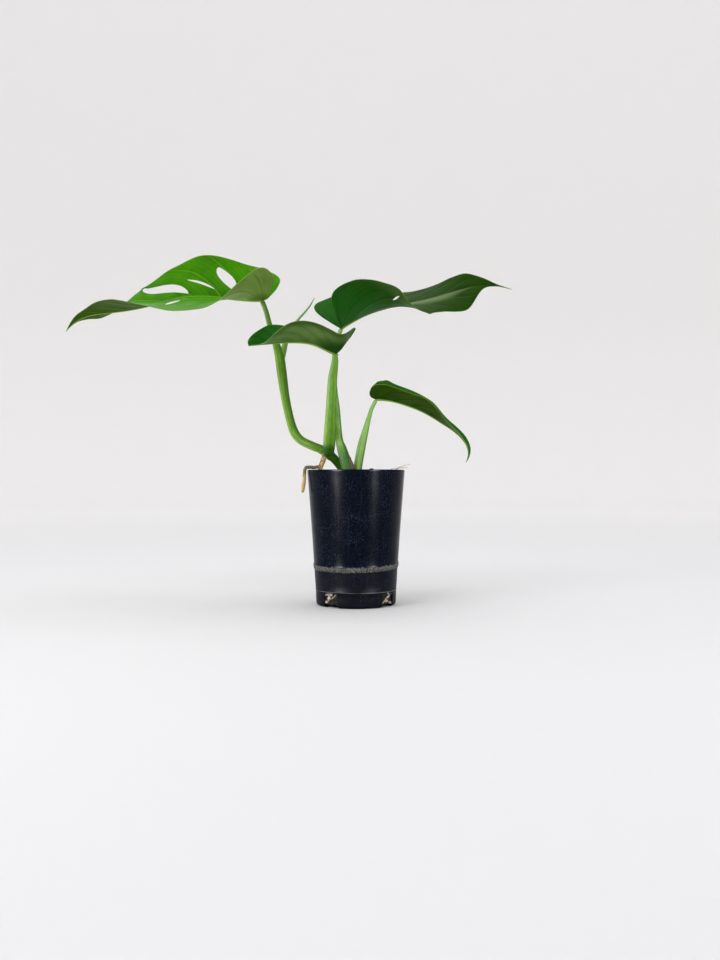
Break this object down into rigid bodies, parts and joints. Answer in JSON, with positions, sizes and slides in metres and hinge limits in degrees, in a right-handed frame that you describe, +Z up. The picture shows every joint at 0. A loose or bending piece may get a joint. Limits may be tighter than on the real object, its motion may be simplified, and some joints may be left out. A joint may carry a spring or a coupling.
{
  "type": "potted monstera deliciosa hybrid",
  "caption": "Young climbing monstera with split and plain heart-shaped leaves on long stalks, standing in a tapered black nursery pot.",
  "frame": {"origin": "centre of the pot's underside", "axes": "+Z up out of the pot, +X to the right of the pictured side, -Y towards the camera"},
  "size_m": [0.417, 0.1375, 0.3218],
  "materials": {
    "pot_plastic": "glossy black injection moulded plastic, lightly scuffed",
    "potting_mix": "rough bark chips, perlite and coir",
    "stem_green": "smooth, waxy green",
    "petiole_green": "smooth, waxy green with pale streaks",
    "new_leaf": "pale grey green, waxy",
    "root": "dry, tan to dark brown",
    "dry_sheath": "dry and papery, brown",
    "leaf_bright": "satin leaf, bright green",
    "leaf_dark": "satin leaf, dark green",
    "leaf_mid": "satin leaf, mid green"
  },
  "bodies": {
    "root": {"pot": "pot_plastic", "potting_mix": "potting_mix", "vine_stem": "stem_green", "petiole_2": "petiole_green", "petiole_3": "petiole_green", "petiole_4": "petiole_green", "new_leaf_spear": "new_leaf", "aerial_root": "root", "dry_sheath": "dry_sheath", "leaf_1": "leaf_bright", "leaf_2": "leaf_dark", "leaf_3": "leaf_mid", "leaf_4": "leaf_dark"}
  },
  "joints": []
}
